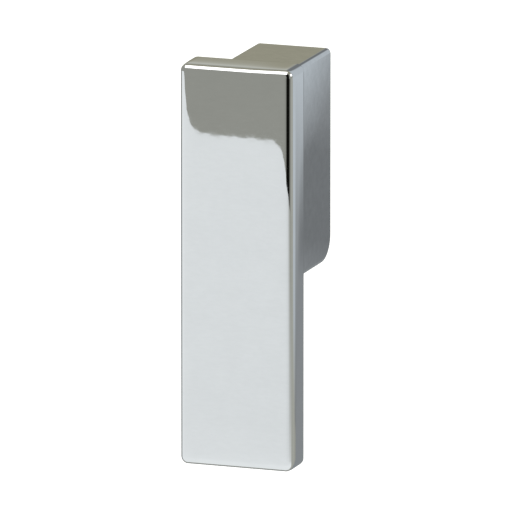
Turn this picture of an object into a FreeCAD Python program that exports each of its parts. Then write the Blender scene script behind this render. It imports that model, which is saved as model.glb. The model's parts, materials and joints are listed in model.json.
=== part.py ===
"""Sash lift handle with a concealed fixing, in millimetres.

A flat upright plate is carried off the window sash by a hollow foot. The foot slides over a mounting
block that is screwed to the sash, and a set screw in the foot's underside clamps it there.

The origin is on the sash face, midway between the two sash screws. +Z is up, and the sash lies
towards +Y, so the plate's polished front faces -Y.
"""
import FreeCAD, Part
import os

import Sketcher
from FreeCAD import Vector

DIMENSIONS = [
    ("plate_height", 52.0, "front plate, top to bottom"),
    ("plate_width", 15.1, "front plate, side to side"),
    ("plate_thickness", 4.75, "front plate, front to back"),
    ("plate_corner", 1.0, "radius of the plate's four corners, seen from the front"),
    ("plate_front_edge", 0.75, "rounding around the polished front"),
    ("plate_back_edge", 0.2, "rounding around the back"),
    ("plate_rise", 1.6, "plate's top above the foot's top"),
    ("plate_hole_depth", 3.4, "blind tapped holes in the plate's back"),
    ("foot_width", 10.0, "foot, side to side"),
    ("foot_height", 27.5, "foot, top to bottom"),
    ("foot_depth", 17.9, "foot, from the sash to the plate"),
    ("foot_heel", 3.3, "rounding of the foot's lower rear corner"),
    ("foot_crown", 0.8, "rounding of the foot's upper rear corner"),
    ("foot_edge", 0.6, "rounding along the foot's two sides"),
    ("wall_top", 2.0, "foot's wall above the cavity"),
    ("wall_bottom", 4.6, "foot's wall below the cavity, as deep as the set screw's thread needs"),
    ("wall_side", 1.5, "foot's wall each side of the cavity"),
    ("wall_front", 3.0, "foot's wall behind the plate"),
    ("cavity_corner", 1.0, "cutter radius in the cavity's corners"),
    ("block_play", 0.15, "gap all round the mounting block, inside the cavity"),
    ("block_depth", 9.0, "mounting block, from the sash forwards"),
    ("block_lead", 0.3, "chamfer that leads the foot on to the block"),
    ("sash_screw_spacing", 12.0, "upper to lower wood screw"),
    ("sash_screw_length", 19.0, "wood screw, overall"),
    ("sash_thread_radius", 1.45, "wood screw, over its thread"),
    ("sash_shank_radius", 1.1, "wood screw's plain shank, between head and thread"),
    ("sash_thread_start", 9.3, "from the head's top to the wood screw's thread"),
    ("sash_head_radius", 2.7, "wood screw's countersunk head"),
    ("sash_head_rim", 0.1, "straight rim of the countersunk head"),
    ("sash_point", 2.8, "taper at the wood screw's point"),
    ("sash_tip_radius", 0.15, "blunt end of the wood screw's point"),
    ("cross_width", 0.8, "arm of the cross recess"),
    ("cross_span", 2.8, "cross recess, end to end"),
    ("cross_depth", 1.2, "depth of the cross recess"),
    ("seat_gap", 0.1, "gap round the wood screw in its countersunk hole"),
    ("plate_screw_spacing", 14.0, "upper to lower machine screw"),
    ("plate_screw_length", 6.0, "machine screw, below its head"),
    ("plate_screw_radius", 1.5, "machine screw, M3"),
    ("plate_head_radius", 2.75, "machine screw's socket head"),
    ("plate_head_height", 3.0, "machine screw's socket head"),
    ("plate_socket", 2.5, "machine screw's hexagon socket, across flats"),
    ("plate_socket_depth", 1.3, "depth of the machine screw's socket"),
    ("clearance_radius", 1.7, "plain holes for the machine screws in the foot's front wall"),
    ("set_screw_radius", 2.0, "set screw, M4"),
    ("set_screw_length", 4.0, "set screw, overall"),
    ("set_screw_back", 5.5, "set screw's axis, from the sash face"),
    ("set_socket", 2.0, "set screw's hexagon socket, across flats"),
    ("set_socket_depth", 1.8, "depth of the set screw's socket"),
    ("set_cup_radius", 0.9, "hollow in the set screw's cup point"),
    ("set_point_radius", 1.3, "ring that bites, round the cup"),
    ("set_tip_gap", 0.02, "set screw's point below the mounting block"),
    ("thread_gap", 0.05, "radial gap that stands for each machine thread's fit"),
    ("screw_chamfer", 0.3, "chamfers on the machine-made screws and the set screw's hole"),
]
TOLERANCE = 1e-4

doc = FreeCAD.newDocument("SashLift")
sheet = doc.addObject("Spreadsheet::Sheet", "Sizes")
for row, (alias, value, meaning) in enumerate(DIMENSIONS, start=1):
    sheet.set(f"A{row}", alias)
    sheet.set(f"B{row}", str(value))
    sheet.set(f"C{row}", meaning)
    sheet.setAlias(f"B{row}", alias)
doc.recompute()

# Sizes and places that several pieces share, as spreadsheet expressions.
HALF_PLATE_WIDTH = "(Sizes.plate_width / 2)"
HALF_PLATE_HEIGHT = "(Sizes.plate_height / 2)"
HALF_FOOT_WIDTH = "(Sizes.foot_width / 2)"
HALF_CAVITY_WIDTH = "(Sizes.foot_width / 2 - Sizes.wall_side)"
HALF_CAVITY_HEIGHT = "((Sizes.foot_height - Sizes.wall_top - Sizes.wall_bottom) / 2)"
FOOT_TOP = f"({HALF_CAVITY_HEIGHT} + Sizes.wall_top)"
FOOT_BOTTOM = f"(-{HALF_CAVITY_HEIGHT} - Sizes.wall_bottom)"
CAVITY_DEPTH = "(Sizes.foot_depth - Sizes.wall_front)"
PLATE_MIDDLE = f"({FOOT_TOP} + Sizes.plate_rise - {HALF_PLATE_HEIGHT})"
HALF_BLOCK_WIDTH = f"({HALF_CAVITY_WIDTH} - Sizes.block_play)"
HALF_BLOCK_HEIGHT = f"({HALF_CAVITY_HEIGHT} - Sizes.block_play)"
SASH_SCREW_UP = "(Sizes.sash_screw_spacing / 2)"
PLATE_SCREW_UP = "(Sizes.plate_screw_spacing / 2)"
COUNTERSINK = "(Sizes.sash_head_radius - Sizes.sash_thread_radius + Sizes.sash_head_rim)"


def number(expression):
    """The value that a spreadsheet expression has now."""
    return float(sheet.evalExpression(expression))


def close(value, expression):
    return abs(value - number(expression)) < TOLERANCE


def new_body(label, **place):
    """A body whose place along each named axis is bound to the sheet."""
    body = doc.addObject("PartDesign::Body", label)
    body.Label = label
    for axis, expression in place.items():
        body.setExpression(f"Placement.Base.{axis}", expression)
    return body


def new_sketch(body, name, plane, offset=None):
    """A sketch on one of the body's origin planes, moved along the plane's normal by an expression."""
    sketch = body.newObject("Sketcher::SketchObject", name)
    support = next(f for f in body.Origin.OriginFeatures if f.Role == plane)
    sketch.AttachmentSupport = [(support, "")]
    sketch.MapMode = "FlatFace"
    if offset:
        sketch.setExpression("AttachmentOffset.Base.z", offset)
    return sketch


def bind(sketch, name, expression, *constraint):
    """Adds a dimension to a sketch and binds it to an expression."""
    index = sketch.addConstraint(Sketcher.Constraint(*constraint, number(expression)))
    sketch.renameConstraint(index, name)
    sketch.setExpression(f"Constraints.{name}", expression)


def outline(sketch, corners):
    """A closed outline of straight lines. Each corner is a pair of expressions, measured from the origin."""
    points = [Vector(number(across), number(up), 0) for across, up in corners]
    for i, point in enumerate(points):
        sketch.addGeometry(Part.LineSegment(point, points[(i + 1) % len(points)]), False)
    for i, (across, up) in enumerate(corners):
        following = (i + 1) % len(corners)
        sketch.addConstraint(Sketcher.Constraint("Coincident", i, 2, following, 1))
        bind(sketch, f"across_{i}", across, "DistanceX", -1, 1, i, 1)
        bind(sketch, f"up_{i}", up, "DistanceY", -1, 1, i, 1)


def rectangle(sketch, left, right, bottom, top):
    outline(sketch, [(left, bottom), (right, bottom), (right, top), (left, top)])


def circles(sketch, radius, *heights):
    """One circle at each height, on the sketch's upright axis."""
    for i, up in enumerate(heights):
        middle = Vector(0, number(up), 0)
        sketch.addGeometry(Part.Circle(middle, Vector(0, 0, 1), number(radius)), False)
        bind(sketch, f"radius_{i}", radius, "Radius", i)
        sketch.addConstraint(Sketcher.Constraint("PointOnObject", i, 3, -2))
        bind(sketch, f"up_{i}", up, "DistanceY", -1, 1, i, 3)


def hexagon(sketch, across_flats):
    corners = []
    for turn in range(0, 360, 60):
        reach = f"{across_flats} / 2 / cos(30 deg)"
        corners.append((f"{reach} * cos({turn} deg)", f"{reach} * sin({turn} deg)"))
    outline(sketch, corners)


def cross(sketch, width, span):
    """A plus sign about the origin."""
    arm, end = f"({width} / 2)", f"({span} / 2)"
    quarter = [(end, arm), (arm, arm), (arm, end)]
    half = quarter + [(f"-{across}", up) for across, up in reversed(quarter)]
    outline(sketch, half + [(across, f"-{up}") for across, up in reversed(half)])


def pad(body, sketch, length, symmetric=False):
    feature = body.newObject("PartDesign::Pad", f"{sketch.Name}_pad")
    feature.Profile = sketch
    feature.SideType = "Symmetric" if symmetric else "One side"
    feature.setExpression("Length", length)
    doc.recompute()


def pocket(body, sketch, depth=None, along_normal=False):
    """Cuts to a depth, or right through without one, and checks that something was cut."""
    before = body.Shape.Volume
    feature = body.newObject("PartDesign::Pocket", f"{sketch.Name}_pocket")
    feature.Profile = sketch
    feature.Reversed = along_normal
    if depth:
        feature.setExpression("Length", depth)
    else:
        feature.Type = "ThroughAll"
    doc.recompute()
    if body.Shape.Volume > before - TOLERANCE:
        raise RuntimeError(f"{feature.Name} cuts nothing")


def revolve(body, sketch):
    """Turns a half outline about the sketch's own upright axis."""
    feature = body.newObject("PartDesign::Revolution", f"{sketch.Name}_turn")
    feature.Profile = sketch
    feature.ReferenceAxis = (sketch, ["V_Axis"])
    feature.Angle = 360
    doc.recompute()


def ease(body, kind, name, amount, chosen):
    """A Fillet or a Chamfer on the edges of the body that the test picks, in the body's own frame."""
    solid = body.Tip
    names = [f"Edge{i}" for i, edge in enumerate(solid.Shape.Edges, start=1) if chosen(edge)]
    feature = body.newObject(f"PartDesign::{kind}", name)
    feature.Base = (solid, names)
    feature.setExpression("Radius" if kind == "Fillet" else "Size", amount)
    doc.recompute()


def runs_along(edge, axis):
    """Whether an edge is a straight line along one axis."""
    start, end = edge.Vertexes[0].Point, edge.Vertexes[-1].Point
    moved = [abs(end[i] - start[i]) > TOLERANCE for i in range(3)]
    return moved == [name == axis for name in "xyz"]


def lies_at(edge, axis, expression):
    """Whether both ends of an edge are at one place along an axis."""
    return all(close(getattr(vertex.Point, axis), expression) for vertex in edge.Vertexes)


def make_front_plate():
    """The upright plate. It starts at the foot's front and has two blind tapped holes in its back."""
    body = new_body("front_plate", y="-Sizes.foot_depth", z=PLATE_MIDDLE)
    face = new_sketch(body, "plate_face", "XZ_Plane")
    rectangle(face, f"-{HALF_PLATE_WIDTH}", HALF_PLATE_WIDTH, f"-{HALF_PLATE_HEIGHT}", HALF_PLATE_HEIGHT)
    pad(body, face, "Sizes.plate_thickness")
    ease(body, "Fillet", "plate_corners", "Sizes.plate_corner", lambda e: runs_along(e, "y"))
    ease(body, "Fillet", "plate_front_rim", "Sizes.plate_front_edge",
         lambda e: lies_at(e, "y", "-Sizes.plate_thickness"))
    ease(body, "Fillet", "plate_back_rim", "Sizes.plate_back_edge", lambda e: lies_at(e, "y", "0"))
    holes = new_sketch(body, "plate_holes", "XZ_Plane")
    radius = "(Sizes.plate_screw_radius + Sizes.thread_gap)"
    circles(holes, radius, f"{PLATE_SCREW_UP} - {PLATE_MIDDLE}", f"-{PLATE_SCREW_UP} - {PLATE_MIDDLE}")
    pocket(body, holes, "Sizes.plate_hole_depth", along_normal=True)
    return body


def make_foot_shell():
    """The hollow foot: a block with a rounded heel, open at the back, with holes for three screws."""
    body = new_body("foot_shell")
    side = new_sketch(body, "foot_side", "YZ_Plane")
    rectangle(side, "-Sizes.foot_depth", "0", FOOT_BOTTOM, FOOT_TOP)
    pad(body, side, "Sizes.foot_width", symmetric=True)
    ease(body, "Fillet", "foot_heel_round", "Sizes.foot_heel",
         lambda e: lies_at(e, "y", "0") and lies_at(e, "z", FOOT_BOTTOM))
    ease(body, "Fillet", "foot_crown_round", "Sizes.foot_crown",
         lambda e: lies_at(e, "y", "0") and lies_at(e, "z", FOOT_TOP))
    ease(body, "Fillet", "foot_side_rims", "Sizes.foot_edge",
         lambda e: not runs_along(e, "x") and not lies_at(e, "y", "-Sizes.foot_depth"))
    mouth = new_sketch(body, "cavity_mouth", "XZ_Plane")
    rectangle(mouth, f"-{HALF_CAVITY_WIDTH}", HALF_CAVITY_WIDTH,
              f"-{HALF_CAVITY_HEIGHT}", HALF_CAVITY_HEIGHT)
    pocket(body, mouth, CAVITY_DEPTH, along_normal=True)
    ease(body, "Fillet", "cavity_corners", "Sizes.cavity_corner",
         lambda e: runs_along(e, "y") and lies_inside_cavity(e))
    front_holes = new_sketch(body, "clearance_holes", "XZ_Plane")
    circles(front_holes, "Sizes.clearance_radius", PLATE_SCREW_UP, f"-{PLATE_SCREW_UP}")
    pocket(body, front_holes, along_normal=True)
    under_hole = new_sketch(body, "set_screw_hole", "XY_Plane")
    circles(under_hole, "(Sizes.set_screw_radius + Sizes.thread_gap)", "-Sizes.set_screw_back")
    pocket(body, under_hole)
    ease(body, "Chamfer", "set_screw_mouth", "Sizes.screw_chamfer",
         lambda e: isinstance(e.Curve, Part.Circle) and len(e.Vertexes) == 1
         and lies_at(e, "z", FOOT_BOTTOM))
    return body


def lies_inside_cavity(edge):
    """Whether a front-to-back edge is a corner of the foot's cavity."""
    middle = edge.CenterOfMass
    return close(abs(middle.x), HALF_CAVITY_WIDTH) and close(abs(middle.z), HALF_CAVITY_HEIGHT)


def make_mounting_block():
    """The block on the sash, with two countersunk holes and a chamfer to lead the foot on."""
    body = new_body("mounting_block")
    face = new_sketch(body, "block_face", "XZ_Plane")
    rectangle(face, f"-{HALF_BLOCK_WIDTH}", HALF_BLOCK_WIDTH, f"-{HALF_BLOCK_HEIGHT}", HALF_BLOCK_HEIGHT)
    pad(body, face, "Sizes.block_depth")
    ease(body, "Fillet", "block_corners", "Sizes.cavity_corner", lambda e: runs_along(e, "y"))
    ease(body, "Chamfer", "block_lead_in", "Sizes.block_lead",
         lambda e: lies_at(e, "y", "-Sizes.block_depth"))
    holes = new_sketch(body, "block_holes", "XZ_Plane")
    circles(holes, "(Sizes.sash_thread_radius + Sizes.seat_gap)", SASH_SCREW_UP, f"-{SASH_SCREW_UP}")
    pocket(body, holes, along_normal=True)
    ease(body, "Chamfer", "block_countersinks", COUNTERSINK,
         lambda e: isinstance(e.Curve, Part.Circle) and len(e.Vertexes) == 1
         and lies_at(e, "y", "-Sizes.block_depth"))
    return body


def make_sash_screw(label, height):
    """A countersunk wood screw, its head flush with the block's front and its thread all in the sash."""
    body = new_body(label, y="-Sizes.block_depth", z=height)
    half = new_sketch(body, f"{label}_half", "XY_Plane")
    under_head = "Sizes.sash_head_rim + Sizes.sash_head_radius - Sizes.sash_shank_radius"
    full_thread = "Sizes.sash_thread_start + Sizes.sash_thread_radius - Sizes.sash_shank_radius"
    outline(half, [
        ("0", "0"),
        ("Sizes.sash_head_radius", "0"),
        ("Sizes.sash_head_radius", "Sizes.sash_head_rim"),
        ("Sizes.sash_shank_radius", under_head),
        ("Sizes.sash_shank_radius", "Sizes.sash_thread_start"),
        ("Sizes.sash_thread_radius", full_thread),
        ("Sizes.sash_thread_radius", "Sizes.sash_screw_length - Sizes.sash_point"),
        ("Sizes.sash_tip_radius", "Sizes.sash_screw_length"),
        ("0", "Sizes.sash_screw_length"),
    ])
    revolve(body, half)
    recess = new_sketch(body, f"{label}_recess", "XZ_Plane")
    cross(recess, "Sizes.cross_width", "Sizes.cross_span")
    pocket(body, recess, "Sizes.cross_depth")
    return body


def make_plate_screw(label, height):
    """A socket-head machine screw through the foot's front wall into the plate."""
    body = new_body(label, y=f"-{CAVITY_DEPTH}", z=height)
    half = new_sketch(body, f"{label}_half", "XY_Plane")
    outline(half, [
        ("0", "Sizes.plate_head_height"),
        ("Sizes.plate_head_radius - Sizes.screw_chamfer", "Sizes.plate_head_height"),
        ("Sizes.plate_head_radius", "Sizes.plate_head_height - Sizes.screw_chamfer"),
        ("Sizes.plate_head_radius", "0"),
        ("Sizes.plate_screw_radius", "0"),
        ("Sizes.plate_screw_radius", "Sizes.screw_chamfer - Sizes.plate_screw_length"),
        ("Sizes.plate_screw_radius - Sizes.screw_chamfer", "-Sizes.plate_screw_length"),
        ("0", "-Sizes.plate_screw_length"),
    ])
    revolve(body, half)
    socket = new_sketch(body, f"{label}_socket", "XZ_Plane", offset="-Sizes.plate_head_height")
    hexagon(socket, "Sizes.plate_socket")
    pocket(body, socket, "Sizes.plate_socket_depth", along_normal=True)
    return body


def make_set_screw():
    """A cup-point set screw, upright in the foot's underside, its point just under the block."""
    point = f"-{HALF_BLOCK_HEIGHT} - Sizes.set_tip_gap"
    body = new_body("set_screw", y="-Sizes.set_screw_back", z=point)
    half = new_sketch(body, "set_screw_half", "XZ_Plane")
    shoulder = "(Sizes.set_screw_radius - Sizes.set_point_radius)"
    outline(half, [
        ("0", "-Sizes.set_cup_radius / 2"),
        ("Sizes.set_cup_radius", "0"),
        ("Sizes.set_point_radius", "0"),
        ("Sizes.set_screw_radius", f"-{shoulder}"),
        ("Sizes.set_screw_radius", "Sizes.screw_chamfer - Sizes.set_screw_length"),
        ("Sizes.set_screw_radius - Sizes.screw_chamfer", "-Sizes.set_screw_length"),
        ("0", "-Sizes.set_screw_length"),
    ])
    revolve(body, half)
    socket = new_sketch(body, "set_screw_socket", "XY_Plane", offset="-Sizes.set_screw_length")
    hexagon(socket, "Sizes.set_socket")
    pocket(body, socket, "Sizes.set_socket_depth", along_normal=True)
    return body


def check_document(bodies):
    """Stops before anything is written if an object failed or a shape isn't one sound solid."""
    for item in doc.Objects:
        if "Invalid" in item.State or "Error" in item.State:
            raise RuntimeError(f"{item.Name} failed: {item.State}")
    for body in bodies:
        shape = body.Shape
        if shape.isNull() or not shape.isValid() or len(shape.Solids) != 1:
            raise RuntimeError(f"{body.Label} isn't one valid solid")


subparts = [
    make_front_plate(),
    make_foot_shell(),
    make_mounting_block(),
    make_sash_screw("sash_screw_upper", SASH_SCREW_UP),
    make_sash_screw("sash_screw_lower", f"-{SASH_SCREW_UP}"),
    make_plate_screw("plate_screw_upper", PLATE_SCREW_UP),
    make_plate_screw("plate_screw_lower", f"-{PLATE_SCREW_UP}"),
    make_set_screw(),
]
doc.recompute()
check_document(subparts)
os.makedirs("parts", exist_ok=True)
for subpart in subparts:
    subpart.Shape.exportStep(f"parts/{subpart.Label}.step")
    box = subpart.Shape.BoundBox
    print(f"{subpart.Label}: {subpart.Shape.Volume:.1f} mm3, y {box.YMin:.2f} to {box.YMax:.2f},"
          f" z {box.ZMin:.2f} to {box.ZMax:.2f}")
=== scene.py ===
import json
import math

import bmesh
import bpy
from mathutils import Matrix, Vector


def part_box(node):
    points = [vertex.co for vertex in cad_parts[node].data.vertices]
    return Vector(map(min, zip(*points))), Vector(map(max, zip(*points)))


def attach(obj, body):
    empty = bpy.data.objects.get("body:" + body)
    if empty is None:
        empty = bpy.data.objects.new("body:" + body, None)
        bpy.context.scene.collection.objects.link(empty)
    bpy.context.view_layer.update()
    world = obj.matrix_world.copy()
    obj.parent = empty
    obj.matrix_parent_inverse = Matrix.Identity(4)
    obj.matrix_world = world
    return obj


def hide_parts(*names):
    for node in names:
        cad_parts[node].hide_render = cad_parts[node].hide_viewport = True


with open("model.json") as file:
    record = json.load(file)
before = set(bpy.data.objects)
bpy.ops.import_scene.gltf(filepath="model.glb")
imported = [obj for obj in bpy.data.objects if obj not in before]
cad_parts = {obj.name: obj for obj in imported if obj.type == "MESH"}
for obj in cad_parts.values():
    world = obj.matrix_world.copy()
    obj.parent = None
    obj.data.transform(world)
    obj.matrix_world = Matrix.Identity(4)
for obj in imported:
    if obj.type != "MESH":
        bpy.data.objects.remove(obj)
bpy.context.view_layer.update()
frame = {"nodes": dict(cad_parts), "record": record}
MM = 0.001


# ---------------------------------------------------------------- nodes

def new_material(name):
    """A material with an empty node tree."""
    material = bpy.data.materials.new(name)
    material.use_nodes = True
    tree = material.node_tree
    tree.nodes.clear()
    return material, tree


def add(tree, kind, inputs=(), **settings):
    """A node with its settings. Each input is a value or another node's output."""
    node = tree.nodes.new(kind)
    for name, value in settings.items():
        setattr(node, name, value)
    for socket, value in dict(inputs).items():
        if isinstance(value, bpy.types.NodeSocket):
            tree.links.new(value, node.inputs[socket])
        else:
            node.inputs[socket].default_value = value
    return node


def math_node(tree, operation, *values):
    return add(tree, "ShaderNodeMath", dict(enumerate(values)), operation=operation).outputs[0]


def noise(tree, place, scale, detail, **others):
    """A noise texture's value at a place. Most of its values lie between NOISE_LOW and NOISE_HIGH."""
    inputs = {"Vector": place, "Scale": scale, "Detail": detail, **others}
    return add(tree, "ShaderNodeTexNoise", inputs).outputs["Fac"]


def fade(tree, value, start, stop, low=0.0, high=1.0):
    """From low to high, as the value goes from the start to the stop. It stays level beyond them."""
    inputs = {"Value": value, "From Min": start, "From Max": stop, "To Min": low, "To Max": high}
    return add(tree, "ShaderNodeMapRange", inputs).outputs["Result"]


def ramp(tree, factor, stops):
    """A colour ramp. Each stop is a place from 0 to 1 and a colour."""
    node = add(tree, "ShaderNodeValToRGB", {"Fac": factor})
    elements = node.color_ramp.elements
    while len(elements) > 1:
        elements.remove(elements[-1])
    elements[0].position, elements[0].color = stops[0][0], (*stops[0][1], 1)
    for position, colour in stops[1:]:
        elements.new(position).color = (*colour, 1)
    return node.outputs["Color"]


def along(tree, value, stops):
    """A colour ramp whose stops are places on the value's own scale."""
    first, last = stops[0][0], stops[-1][0]
    scaled = [((place - first) / (last - first), colour) for place, colour in stops]
    return ramp(tree, fade(tree, value, first, last), scaled)


def blend(tree, share, one, other, **settings):
    """From one colour to the other. A colour is fixed or comes from a node."""
    inputs = {"Factor": share}
    for socket, colour in (("A", one), ("B", other)):
        inputs[socket] = colour if isinstance(colour, bpy.types.NodeSocket) else (*colour, 1)
    return add(tree, "ShaderNodeMix", inputs, data_type="RGBA", **settings).outputs["Result"]


def tone(colour, level):
    return tuple(part * level for part in colour)


# ---------------------------------------------------------------- materials

NOISE_LOW, NOISE_HIGH = 0.3, 0.7
EDGE_FLAT, EDGE_WORN = 0.5, 0.56        # pointiness of a flat place and of a worn edge
WHITE = (1, 1, 1)
CHROME = (0.80, 0.81, 0.82)
CHROME_ROUGHNESS = 0.009
WAVE_SCALE, WAVE_DEPTH = 800.0, 0.0003  # soft waves in the polish, and their depth in millimetres
WIPE_SCALE, WIPE_HEIGHT = 2600.0, 0.003         # fine wipe marks, and their height as a share of the waves'
WIPE_STRETCH = (0.35, 0.35, 1.0)        # makes the wipe marks longer across than upward


def metal_surface(tree, colour, gloss, height, strength, depth):
    """Ends a metal's node tree: its shader, with a bump whose depth is in millimetres."""
    bump = add(tree, "ShaderNodeBump", {"Height": height, "Strength": strength, "Distance": depth * MM})
    shader = add(tree, "ShaderNodeBsdfPrincipled", {
        "Base Color": colour, "Metallic": 1.0, "Roughness": gloss, "Normal": bump.outputs["Normal"]})
    add(tree, "ShaderNodeOutputMaterial", {"Surface": shader.outputs["BSDF"]})


def chrome(name, smudge=0.02, smudge_scale=420.0, wipe=0.02):
    """Polished plating: faint soft waves in the polish, smudges, and fine wipe marks across it.

    The smudge and the wipe are the shares of the light that the smudges and wipe marks take away.
    """
    material, tree = new_material(name)
    place = add(tree, "ShaderNodeTexCoord").outputs["Object"]
    stretched = add(tree, "ShaderNodeMapping", {"Vector": place, "Scale": WIPE_STRETCH}).outputs["Vector"]
    wave = noise(tree, place, WAVE_SCALE, 1.0, Roughness=0.4)
    fine = noise(tree, stretched, WIPE_SCALE, 2.0, Roughness=0.6)
    patch = noise(tree, place, smudge_scale, 2.0)
    dulled = ramp(tree, patch, [(NOISE_LOW, tone(CHROME, 1 - smudge)), (NOISE_HIGH, CHROME)])
    wiped = ramp(tree, fine, [(NOISE_LOW, tone(WHITE, 1 - wipe)), (NOISE_HIGH, WHITE)])
    tint = blend(tree, 1.0, dulled, wiped, blend_type="MULTIPLY")
    gloss = fade(tree, fine, NOISE_LOW, NOISE_HIGH, CHROME_ROUGHNESS, CHROME_ROUGHNESS * 2)
    height = math_node(tree, "MULTIPLY_ADD", fine, WIPE_HEIGHT, wave)
    metal_surface(tree, tint, gloss, height, strength=1.0, depth=WAVE_DEPTH)
    return material


def metal(name, colour, roughness, grain_scale, grain_depth, worn):
    """A plain metal with grain in its colour, gloss and surface, lighter along its worn edges."""
    material, tree = new_material(name)
    place = add(tree, "ShaderNodeTexCoord").outputs["Object"]
    edge = add(tree, "ShaderNodeNewGeometry").outputs["Pointiness"]
    grain = noise(tree, place, grain_scale, 4.0)
    patch = noise(tree, place, grain_scale / 8, 2.0)
    wear = ramp(tree, edge, [(EDGE_FLAT, (0, 0, 0)), (EDGE_WORN, WHITE)])
    base = ramp(tree, patch, [(NOISE_LOW, tone(colour, 0.85)), (NOISE_HIGH, colour)])
    bright = blend(tree, wear, base, tone(colour, worn))
    gloss = fade(tree, grain, NOISE_LOW, NOISE_HIGH, roughness * 0.85, roughness * 1.15)
    metal_surface(tree, bright, gloss, grain, strength=0.4, depth=grain_depth)
    return material


METALS = {      # colour, roughness, the grain's scale, its depth in millimetres, and how much edges brighten
    "cast_zinc": ((0.50, 0.51, 0.52), 0.46, 2400.0, 0.05, 1.3),
    "zinc_plated_steel": ((0.70, 0.71, 0.72), 0.24, 1500.0, 0.006, 1.3),
    "black_steel": ((0.06, 0.06, 0.065), 0.38, 1800.0, 0.006, 3.0),
}
FINISH = {"polished_chrome": chrome("polished_chrome")}
for slot, settings in METALS.items():
    FINISH[slot] = metal(slot, *settings)
for subpart in frame["record"]["subparts"]:
    node = frame["nodes"][subpart["node"]]
    node.data.materials.clear()
    node.data.materials.append(FINISH[subpart["material_slot"]])
foot = frame["nodes"]["foot_shell"]
foot.data.materials[0] = chrome("polished_chrome_foot", smudge=0.08, smudge_scale=1100.0, wipe=0.03)


# ---------------------------------------------------------------- mesh pieces

SHARP = math.radians(35)                # edges sharper than this are creases
ROUND = 48                              # steps in a turn


def piece_from(mesh, name, material):
    """A smooth-shaded object from a finished bmesh, which it frees."""
    bmesh.ops.recalc_face_normals(mesh, faces=mesh.faces)
    for face in mesh.faces:
        face.smooth = True
    data = bpy.data.meshes.new(name)
    mesh.to_mesh(data)
    mesh.free()
    data.materials.append(material)
    piece = bpy.data.objects.new(name, data)
    bpy.context.scene.collection.objects.link(piece)
    return piece


def join(mesh, one, other):
    """Four-sided faces between two closed loops of points."""
    for i in range(len(one)):
        j = (i + 1) % len(one)
        mesh.faces.new((one[i], one[j], other[j], other[i]))


def cut(piece, cutters):
    """Takes the closed cutters out of the piece's mesh, removes them and creases the sharp edges."""
    for cutter in cutters:
        change = piece.modifiers.new("cut", "BOOLEAN")
        change.operation, change.solver, change.object = "DIFFERENCE", "EXACT", cutter
    bpy.context.view_layer.update()
    data = bpy.data.meshes.new_from_object(piece.evaluated_get(bpy.context.evaluated_depsgraph_get()))
    piece.modifiers.clear()
    piece.data = data
    data.set_sharp_from_angle(angle=SHARP)
    for cutter in cutters:
        bpy.data.objects.remove(cutter)


def middle_of(node):
    low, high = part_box(node)
    return (Vector(low) + Vector(high)) / 2


def rod(radius, length, centre, over):
    """A closed cylinder along Y that runs on past its rear end. Radius and lengths in millimetres."""
    mesh = bmesh.new()
    place = Matrix.Translation(centre + Vector((0, over / 2 * MM, 0))) @ Matrix.Rotation(math.pi / 2, 4, "X")
    bmesh.ops.create_cone(mesh, cap_ends=True, segments=ROUND, radius1=radius * MM, radius2=radius * MM,
                          depth=(length + over) * MM, matrix=place)
    return piece_from(mesh, "cutter", FINISH["polished_chrome"])


# ---------------------------------------------------------------- the front plate

# Lengths in millimetres. Polishing makes a face dip towards its edges. A dip is a tilt where it starts,
# at the edge, and a reach, the distance over which it dies away.
PLATE_CORNER = 1.0                              # radius of the outline's corners
FRONT_ROUND, BACK_ROUND = 0.75, 0.2             # roundings around the front and the back
SIDE_TILT, SIDE_REACH = math.radians(5.0), 0.6  # all four sides, towards the front
LEFT_DIP, RIGHT_DIP = (math.radians(3.2), 0.75), (math.radians(3.7), 0.55)      # the front face
END_DIP = (math.radians(1.4), 0.6)              # the front face, towards its top and bottom
TOP_DIP = (math.radians(3.2), 1.9)              # the top face, towards the front
TOP_DIP_END, TOP_DIP_GROWTH = 6.5, 5.0          # the X that it stops at, and how far left of there it is full
TAPPED_RADIUS, TAPPED_DEPTH = 1.55, 3.4         # blind holes in the plate's back
FRONT_STEPS, SIDE_STEPS, BACK_STEPS = 16, 24, 6         # along the plate's section
CORNER_STEPS, SHORT_STEPS, LONG_STEPS = 8, 32, 100      # around the plate's outline


def plate_section(half_width, thickness):
    """The plate's section from the middle of its front, over the edge, to the middle of its back.

    Each point is a distance inside the outline and a depth behind the front.
    """
    shrink = SIDE_REACH * math.tan(SIDE_TILT)       # how much the sides' dip takes off at the front
    section = []
    inset = half_width
    while inset > FRONT_ROUND + shrink + 0.2:       # steps from 0.37 in the middle to about 0.14 at the edge
        section.append((inset, 0.0))
        inset -= 0.12 + 0.25 * min(1.0, (inset - FRONT_ROUND) / 3)
    for i in range(FRONT_STEPS + 1):
        turn = (math.pi / 2 - SIDE_TILT) * i / FRONT_STEPS
        section.append((shrink + FRONT_ROUND * (math.cos(SIDE_TILT) - math.sin(turn)),
                        FRONT_ROUND * (1 - math.cos(turn))))
    start = section[-1][1]
    for i in range(1, SIDE_STEPS + 1):
        deep = start + (thickness - BACK_ROUND - start) * i / SIDE_STEPS
        section.append((shrink * math.exp((start - deep) / SIDE_REACH), deep))
    for i in range(1, BACK_STEPS + 1):
        turn = math.pi / 2 * i / BACK_STEPS
        section.append((BACK_ROUND * (1 - math.cos(turn)), thickness - BACK_ROUND * (1 - math.sin(turn))))
    section.append((BACK_ROUND + 0.04, thickness))       # keeps the back's shading flat
    section.append((half_width / 2, thickness))
    section.append((half_width, thickness))
    return section


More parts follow.
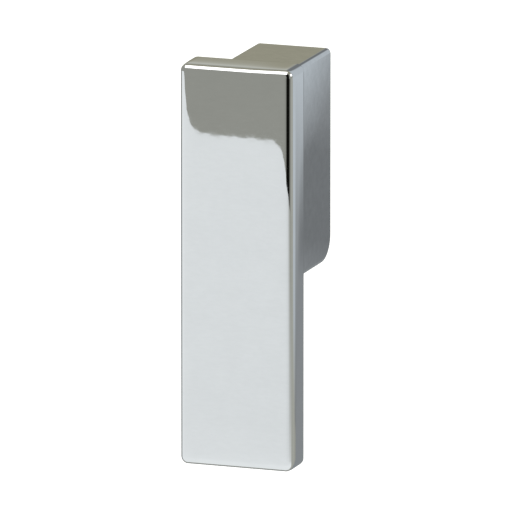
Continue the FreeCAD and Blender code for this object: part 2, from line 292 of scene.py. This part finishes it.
def outline(half_width, half_height, inset):
    """The points of the plate's outline, moved in by the inset: a rectangle with rounded corners."""
    radius = max(PLATE_CORNER - inset, 0.0)
    wide, tall = half_width - inset - radius, half_height - inset - radius
    arcs = []
    for quarter, (side, end) in enumerate([(1, 1), (-1, 1), (-1, -1), (1, -1)]):
        turns = [math.pi / 2 * (quarter + i / CORNER_STEPS) for i in range(CORNER_STEPS + 1)]
        arcs.append([(side * wide + radius * math.cos(turn), end * tall + radius * math.sin(turn))
                     for turn in turns])
    points = []
    for quarter, arc in enumerate(arcs):
        (x, z), (next_x, next_z) = arc[-1], arcs[(quarter + 1) % 4][0]
        steps = LONG_STEPS if quarter % 2 else SHORT_STEPS
        points += arc
        points += [(x + (next_x - x) * i / steps, z + (next_z - z) * i / steps) for i in range(1, steps)]
    return points


def dip(distance, tilt, reach):
    """How far a face has sunk, at that distance from where its dip starts."""
    return reach * math.tan(tilt) * math.exp(-distance / reach)


def front_sink(x, z, half_width, half_height):
    """How far the front face has sunk at a point, from the dips towards its four edges."""
    return (dip(half_width + x - FRONT_ROUND, *LEFT_DIP) + dip(half_width - x - FRONT_ROUND, *RIGHT_DIP)
            + dip(half_height - abs(z) - FRONT_ROUND, *END_DIP))


def top_sink(x, deep):
    """How far the top face has sunk, in full at the left and the middle and not at all at the right end."""
    share = min(1.0, max(0.0, (TOP_DIP_END - x) / TOP_DIP_GROWTH))
    return dip(max(deep, FRONT_ROUND), *TOP_DIP) * share * share * (3 - 2 * share)


def build_plate():
    """The plate's polished form, as rings of points around its section, with its two blind holes."""
    low, high = (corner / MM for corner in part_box("front_plate"))
    half_width, half_height = (high.x - low.x) / 2, (high.z - low.z) / 2
    middle = (high.z + low.z) / 2
    mesh = bmesh.new()
    rings = []
    for inset, deep in plate_section(half_width, high.y - low.y):
        ring = []
        for x, z in outline(half_width, half_height, inset):
            down = deep + front_sink(x, z, half_width, half_height) * max(0.0, 1 - deep / FRONT_ROUND)
            if z > 0:
                z -= top_sink(x, down) * z / half_height
            ring.append(mesh.verts.new((x * MM, (low.y + down) * MM, (z + middle) * MM)))
        rings.append(ring)
    for one, other in zip(rings, rings[1:]):
        join(mesh, one, other)
    bmesh.ops.remove_doubles(mesh, verts=mesh.verts, dist=1e-6)
    plate = piece_from(mesh, "finger_plate", FINISH["polished_chrome"])
    holes = []
    for name in ("plate_screw_upper", "plate_screw_lower"):
        centre = middle_of(name)
        centre.y = (high.y - TAPPED_DEPTH / 2) * MM
        holes.append(rod(TAPPED_RADIUS, TAPPED_DEPTH, centre, over=1.0))
    cut(plate, holes)
    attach(plate, "handle")
    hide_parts("front_plate")


build_plate()


# ---------------------------------------------------------------- the wood screws

# Lengths in millimetres. Places along the screw are measured from its head's top.
HEAD_EDGE, HEAD_RIM, NECK_EASE = 0.05, 0.1, 0.1         # the eased edge, where the rim ends, the eased neck
SHANK_RADIUS, THREAD_RADIUS, TIP_RADIUS = 1.1, 1.45, 0.15
THREAD_START, THREAD_PITCH, POINT = 9.3, 1.1, 2.8       # the point is the taper's length
CROSS_WIDTH, CROSS_SPAN, CROSS_DEPTH = 0.8, 2.8, 1.2
CROSS_OUT, CROSS_TAPER = 0.2, 0.75              # how far its cutter stands out, and its scale at the bottom
THREAD_SHAPE = [(0.0, 0.0), (0.34, 0.0), (0.40, 0.12), (0.485, 1.0), (0.515, 1.0), (0.60, 0.12), (0.66, 0.0),
                (1.0, 0.0)]                             # (share of the pitch, share of the thread's height)


def wood_screw(name, node):
    """A countersunk wood screw with a cross recess, its thread wound as one strip up to the point."""
    low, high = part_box(node)
    centre = middle_of(node)
    head_radius, length = (high.x - low.x) / 2 / MM, (high.y - low.y) / MM
    mesh = bmesh.new()

    def spot(step, radius, down):
        turn = 2 * math.pi * step / ROUND
        return mesh.verts.new((centre.x + radius * MM * math.cos(turn), low.y + down * MM,
                               centre.z + radius * MM * math.sin(turn)))

    def loop(radius, down):
        return [spot(step, radius, down) for step in range(ROUND)]

    under_head = HEAD_RIM + head_radius - SHANK_RADIUS
    loops = [loop(radius, down) for radius, down in [
        (head_radius - HEAD_EDGE, 0.0), (head_radius, HEAD_EDGE), (head_radius, HEAD_RIM),
        (SHANK_RADIUS + NECK_EASE, under_head - NECK_EASE), (SHANK_RADIUS, under_head + NECK_EASE),
        (SHANK_RADIUS, THREAD_START)]]
    mesh.faces.new(loops[0])
    for one, other in zip(loops, loops[1:]):
        join(mesh, one, other)

    # Each column crosses one pitch of the strip, and ends where the column one turn later starts.
    threaded = length - THREAD_START
    steps = round((threaded / THREAD_PITCH - 1) * ROUND)
    pitch = threaded / (steps / ROUND + 1)
    columns = []
    for step in range(steps + 1):
        column = []
        grown = min(1.0, step / ROUND)
        for share, height in THREAD_SHAPE:
            down = THREAD_START + pitch * (step / ROUND + share)
            slim = min(1.0, (length - down) / POINT)
            radius = SHANK_RADIUS + (THREAD_RADIUS - SHANK_RADIUS) * height * grown
            column.append(spot(step, TIP_RADIUS + (radius - TIP_RADIUS) * slim, down))
        columns.append(column)
    for one, other in zip(columns, columns[1:]):
        for i in range(len(THREAD_SHAPE) - 1):
            mesh.faces.new((one[i], other[i], other[i + 1], one[i + 1]))

    # The strip starts and ends on a slant. One turn of wedges joins it to the shank, and one to the tip.
    start, tip = loops[-1], loop(TIP_RADIUS, length)
    for i in range(ROUND):
        shared = columns[0][1:-1] if i == ROUND - 1 else []
        mesh.faces.new((start[i], start[(i + 1) % ROUND], *shared, columns[i + 1][0], columns[i][0]))
        k = steps - ROUND + i
        shared = columns[-1][1:-1][::-1] if i == 0 else []
        mesh.faces.new((columns[k][-1], columns[k + 1][-1], tip[(k + 1) % ROUND], tip[k % ROUND], *shared))
    mesh.faces.new(tip)
    bmesh.ops.remove_doubles(mesh, verts=mesh.verts, dist=2e-7)
    bmesh.ops.dissolve_degenerate(mesh, edges=mesh.edges, dist=1e-8)
    screw = piece_from(mesh, name, FINISH["zinc_plated_steel"])
    cut(screw, [cross_cutter(centre.x, low.y, centre.z)])
    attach(screw, "fixing")
    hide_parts(node)


def cross_cutter(x, y, z):
    """A cross that narrows as it goes in."""
    mesh = bmesh.new()
    arm, half = CROSS_WIDTH / 2, CROSS_SPAN / 2
    cross = []
    for c, s in ((1, 0), (0, 1), (-1, 0), (0, -1)):     # cosine and sine of each quarter turn
        cross += [(c * a - s * b, s * a + c * b) for a, b in ((half, -arm), (half, arm), (arm, arm))]
    ends = []
    for down, scale in ((-CROSS_OUT, MM), (CROSS_DEPTH, CROSS_TAPER * MM)):
        ends.append([mesh.verts.new((x + a * scale, y + down * MM, z + b * scale)) for a, b in cross])
    near, far = ends
    mesh.faces.new(near)
    mesh.faces.new(far)
    join(mesh, near, far)
    return piece_from(mesh, "cutter", FINISH["zinc_plated_steel"])


wood_screw("wood_screw_upper", "sash_screw_upper")
wood_screw("wood_screw_lower", "sash_screw_lower")


# ---------------------------------------------------------------- the visible floor

FLOOR_REACH, FLOOR_HEIGHT = 40.0, -0.35          # metres; the reach is half its side


def flat(name, corners, height, material):
    """A level face at that height."""
    data = bpy.data.meshes.new(name)
    data.from_pydata([(x, y, height) for x, y in corners], [], [tuple(range(len(corners)))])
    data.materials.append(material)
    piece = bpy.data.objects.new(name, data)
    bpy.context.scene.collection.objects.link(piece)
    return piece


def visible_floor():
    """A plain pale floor that the chrome doesn't reflect."""
    material, tree = new_material("pale_floor")
    paint = add(tree, "ShaderNodeBsdfDiffuse", {"Color": (0.9, 0.9, 0.9, 1)})
    glow = add(tree, "ShaderNodeEmission", {"Color": (*WHITE, 1), "Strength": 0.9})
    both = add(tree, "ShaderNodeAddShader", {0: paint.outputs[0], 1: glow.outputs[0]})
    add(tree, "ShaderNodeOutputMaterial", {"Surface": both.outputs[0]})
    corners = [(-FLOOR_REACH, -FLOOR_REACH), (FLOOR_REACH, -FLOOR_REACH),
               (FLOOR_REACH, FLOOR_REACH), (-FLOOR_REACH, FLOOR_REACH)]
    floor = flat("floor", corners, FLOOR_HEIGHT, material)
    floor.visible_glossy = False


visible_floor()


# ---------------------------------------------------------------- what the chrome reflects

# The room's tones. Places are in metres, and directions in degrees.
PAPER = (0.85, 0.88, 0.885)
ROOM = (0.34, 0.345, 0.31)              # warm grey walls
CEILING = (0.34, 0.33, 0.255)
WINDOW = (0.55, 0.60, 0.64)             # cool light from far behind
SHADE = (0.25, 0.265, 0.275)            # the table in the object's own shade
DARK = (0.005, 0.005, 0.004)

TABLE = -0.130                          # height of the table
PAPER_LEFT, PAPER_FRONT, PAPER_BACK = -1.0, -0.6059, -0.0225
PAPER_DEEP = PAPER_BACK - PAPER_FRONT
PAPER_WIDE = 0.97 * PAPER_DEEP          # the sheet's right side curves round, a little flattened
PAPER_STEPS = 30                        # along that curve
BEHIND_LEFT, BEHIND_RIGHT, BEHIND_NEAR, BEHIND_FAR = -0.6, 1.2, 0.02, 0.9       # the table's rear part


def emitting(name, paint):
    """A card's light, which the function paints over the card."""
    material, tree = new_material(name)
    light = add(tree, "ShaderNodeEmission", {"Color": paint(tree)})
    add(tree, "ShaderNodeOutputMaterial", {"Surface": light.outputs["Emission"]})
    return material


def card(name, corners, material):
    """A part of the table's top that only reflections see."""
    board = flat(name, corners, TABLE, material)
    board.visible_camera = False
    board.visible_diffuse = False
    board.visible_shadow = False


def place_parts(tree):
    """The place's X, Y and Z."""
    place = add(tree, "ShaderNodeNewGeometry").outputs["Position"]
    return add(tree, "ShaderNodeSeparateXYZ", {"Vector": place}).outputs


def paper_paint(tree):
    """White paper with painted light: dimmer and greyer towards the right, and brightest near the object."""
    parts = place_parts(tree)
    across = along(tree, parts["X"], [
        (-0.45, tone(PAPER, 1.07)), (-0.15, PAPER), (0.26, tone(PAPER, 0.9)), (0.5, tone(ROOM, 1.1))])
    squares = [math_node(tree, "MULTIPLY", parts[axis], parts[axis]) for axis in ("X", "Y")]
    away = math_node(tree, "SQRT", math_node(tree, "ADD", *squares))
    # painted pool of light: the paper glows brightest within reach of the object
    return blend(tree, fade(tree, away, 0.43, 0.30), across, tone(PAPER, 1.1))


def right_of_line(tree, parts, slant):
    """How far right a place is from a line that runs back from the origin, turned right by the slant."""
    return math_node(tree, "MULTIPLY_ADD", parts["Y"], -math.tan(math.radians(slant)), parts["X"])


def table_paint(tree):
    """The table behind, in three slanted strips: from the left, in shade, less so, and lit by the window."""
    parts = place_parts(tree)
    shaded = along(tree, parts["Y"], [
        (0.46, tone(SHADE, 1.1)), (0.49, tone(SHADE, 0.78)), (0.555, tone(SHADE, 0.8)),
        (0.582, tone(SHADE, 1.05))])
    between = along(tree, parts["Y"], [
        (0.35, ROOM), (0.36, tone(SHADE, 0.9)), (0.50, tone(SHADE, 1.3)), (0.61, WINDOW)])
    lit = along(tree, parts["Y"], [(0.36, tone(ROOM, 1.25)), (0.42, tone(WINDOW, 0.95)), (0.50, WINDOW)])
    table = blend(tree, fade(tree, right_of_line(tree, parts, 14), 0.0635, 0.0715), shaded, between)
    return blend(tree, fade(tree, right_of_line(tree, parts, 19.5), 0.03, 0.06), table, lit)


def stage_cards():
    """The paper in front and the table behind."""
    sheet = [(PAPER_LEFT, PAPER_FRONT)]
    for i in range(PAPER_STEPS + 1):
        turn = math.pi / 2 * i / PAPER_STEPS
        sheet.append((PAPER_WIDE * math.sin(turn), PAPER_BACK - PAPER_DEEP * math.cos(turn)))
    sheet.append((PAPER_LEFT, PAPER_BACK))
    card("paper", sheet, emitting("paper_light", paper_paint))
    behind = [(BEHIND_LEFT, BEHIND_NEAR), (BEHIND_RIGHT, BEHIND_NEAR),
              (BEHIND_RIGHT, BEHIND_FAR), (BEHIND_LEFT, BEHIND_FAR)]
    card("table_behind", behind, emitting("table_light", table_paint))


def angle_from(tree, ahead, across):
    """The angle in degrees from the direction ahead towards the direction across."""
    return math_node(tree, "DEGREES", math_node(tree, "ARCTAN2", across, ahead))


def studio():
    """White for the camera. Reflections see a grey room, with a dark opening at the front."""
    world = bpy.data.worlds.new("studio")
    bpy.context.scene.world = world
    world.use_nodes = True
    tree = world.node_tree
    tree.nodes.clear()
    way = add(tree, "ShaderNodeTexCoord").outputs["Generated"]
    parts = add(tree, "ShaderNodeSeparateXYZ", {"Vector": way}).outputs
    from_front = angle_from(tree, math_node(tree, "MULTIPLY", parts["Y"], -1.0), parts["X"])
    from_rear = angle_from(tree, parts["Y"], parts["X"])
    elevation = math_node(tree, "DEGREES", math_node(tree, "ARCSINE", parts["Z"]))

    # The walls and the ceiling. The rear wall has a shaded part and a part lit by the window.
    room = along(tree, elevation, [(25, ROOM), (60, CEILING)])
    rear = along(tree, elevation, [
        (0, tone(CEILING, 0.7)), (12, CEILING), (20, tone(ROOM, 1.6)), (33, ROOM), (60, CEILING)])
    rear = blend(tree, fade(tree, from_rear, -18.6, -12), rear, tone(SHADE, 0.75))
    rear = blend(tree, fade(tree, from_rear, 5, 13), rear, tone(WINDOW, 0.95))
    room = blend(tree, fade(tree, parts["Y"], 0.45, 0.6), room, rear)

    # The dark opening: soft-edged below the horizon, and with sharper sides above it.
    low_opening = along(tree, from_front, [
        (-180, ROOM), (-14, ROOM), (4, DARK), (44, DARK), (72, ROOM), (88, tone(ROOM, 1.3))])
    room = blend(tree, fade(tree, elevation, -8, -9), room, low_opening)
    tall = math_node(tree, "MULTIPLY", fade(tree, from_front, -4, 4), fade(tree, from_front, 52, 44))
    tall = math_node(tree, "MULTIPLY", tall, fade(tree, elevation, 45, 40))
    room = blend(tree, tall, room, DARK)

    seen = add(tree, "ShaderNodeLightPath").outputs["Is Camera Ray"]
    light = add(tree, "ShaderNodeBackground", {"Color": blend(tree, seen, room, WHITE)})
    add(tree, "ShaderNodeOutputWorld", {"Surface": light.outputs["Background"]})


stage_cards()
studio()


# ---------------------------------------------------------------- lights and camera

LIGHT_DISTANCE, LIGHT_RADIANCE = 1.3, 2.0


def directions(azimuth, elevation):
    """For a viewer at that angle, the unit vectors to their right and from the object to them."""
    a, e = math.radians(azimuth), math.radians(elevation)
    right = Vector((math.cos(a), math.sin(a), 0))
    back = Vector((math.sin(a) * math.cos(e), -math.cos(a) * math.cos(e), math.sin(e)))
    return right, back


def softbox(name, azimuth, elevation, width, height, slide=0.0):
    """A soft area light that faces the handle, slid along its own width."""
    light = bpy.data.lights.new(name, "AREA")
    light.shape = "RECTANGLE"
    light.size, light.size_y = width, height
    light.energy = LIGHT_RADIANCE * math.pi * width * height
    lamp = bpy.data.objects.new(name, light)
    right, back = directions(azimuth, elevation)
    lamp.location = back * LIGHT_DISTANCE + right * slide
    lamp.rotation_euler = back.to_track_quat("Z", "Y").to_euler()
    lamp.visible_camera = False
    bpy.context.scene.collection.objects.link(lamp)


def aim_camera(azimuth, elevation, distance, lens, target, right_shift, up_shift):
    """A camera at that angle, its axis moved sideways and up from the target."""
    right, back = directions(azimuth, elevation)
    up = back.cross(right)
    data = bpy.data.cameras.new("camera")
    data.lens, data.sensor_width = lens, 36.0
    data.clip_start, data.clip_end = 0.05, 100.0
    camera = bpy.data.objects.new("camera", data)
    camera.location = target + right * right_shift + up * up_shift + back * distance
    camera.rotation_euler = back.to_track_quat("Z", "Y").to_euler()
    bpy.context.scene.collection.objects.link(camera)
    bpy.context.scene.camera = camera


softbox("front_softbox", azimuth=0, elevation=60, width=1.5, height=1.25, slide=-0.45)
softbox("side_softbox", azimuth=92, elevation=25, width=0.8, height=0.6)

plate_low, plate_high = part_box("front_plate")
front_centre = Vector((0, plate_low.y, (plate_low.z + plate_high.z) / 2))
aim_camera(azimuth=19.5, elevation=12.8, distance=1.733, lens=966, target=front_centre,
           right_shift=2.62 * MM, up_shift=1.60 * MM)
bpy.context.scene.view_settings.view_transform = "Standard"
